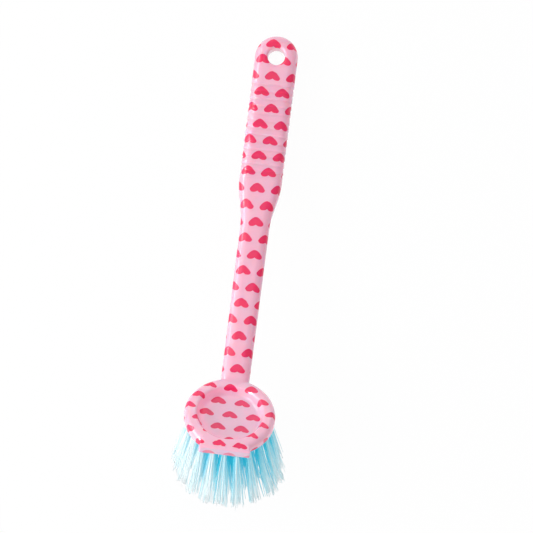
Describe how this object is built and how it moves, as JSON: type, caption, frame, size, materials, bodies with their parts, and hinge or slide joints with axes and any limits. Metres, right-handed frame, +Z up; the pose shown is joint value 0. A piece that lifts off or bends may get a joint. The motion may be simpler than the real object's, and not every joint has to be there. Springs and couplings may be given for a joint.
{
  "type": "dish brush",
  "caption": "Long-handled dish brush with a ribbed grip, hang hole, round dished head, straight scraper lip and fanned nylon bristle tufts.",
  "frame": {"origin": "under the middle of the brush's bounding box, on the table that it lies on with its rear bristle tips and the heel of its handle", "axes": "+Z up, +Y from the head towards the hang hole, +X across the head, to the right seen from above with the hang hole at the top"},
  "size_m": [0.072, 0.2868, 0.0742],
  "materials": {
    "moulding": "glossy pink moulding printed all over with crimson hearts",
    "bristles": "pale blue translucent nylon filaments"
  },
  "bodies": {
    "root": {"handle": "moulding", "tuft_centre": "bristles", "tuft_inner_01": "bristles", "tuft_inner_02": "bristles", "tuft_inner_03": "bristles", "tuft_inner_04": "bristles", "tuft_inner_05": "bristles", "tuft_inner_06": "bristles", "tuft_middle_01": "bristles", "tuft_middle_02": "bristles", "tuft_middle_03": "bristles", "tuft_middle_04": "bristles", "tuft_middle_05": "bristles", "tuft_middle_06": "bristles", "tuft_middle_07": "bristles", "tuft_middle_08": "bristles", "tuft_middle_09": "bristles", "tuft_middle_10": "bristles", "tuft_middle_11": "bristles", "tuft_middle_12": "bristles", "tuft_middle_13": "bristles", "tuft_outer_01": "bristles", "tuft_outer_02": "bristles", "tuft_outer_03": "bristles", "tuft_outer_04": "bristles", "tuft_outer_05": "bristles", "tuft_outer_06": "bristles", "tuft_outer_07": "bristles", "tuft_outer_08": "bristles", "tuft_outer_09": "bristles", "tuft_outer_10": "bristles", "tuft_outer_11": "bristles", "tuft_outer_12": "bristles", "tuft_outer_13": "bristles", "tuft_outer_14": "bristles", "tuft_outer_15": "bristles", "tuft_outer_16": "bristles", "tuft_outer_17": "bristles", "tuft_outer_18": "bristles", "tuft_outer_19": "bristles", "tuft_outer_20": "bristles"}
  },
  "joints": []
}
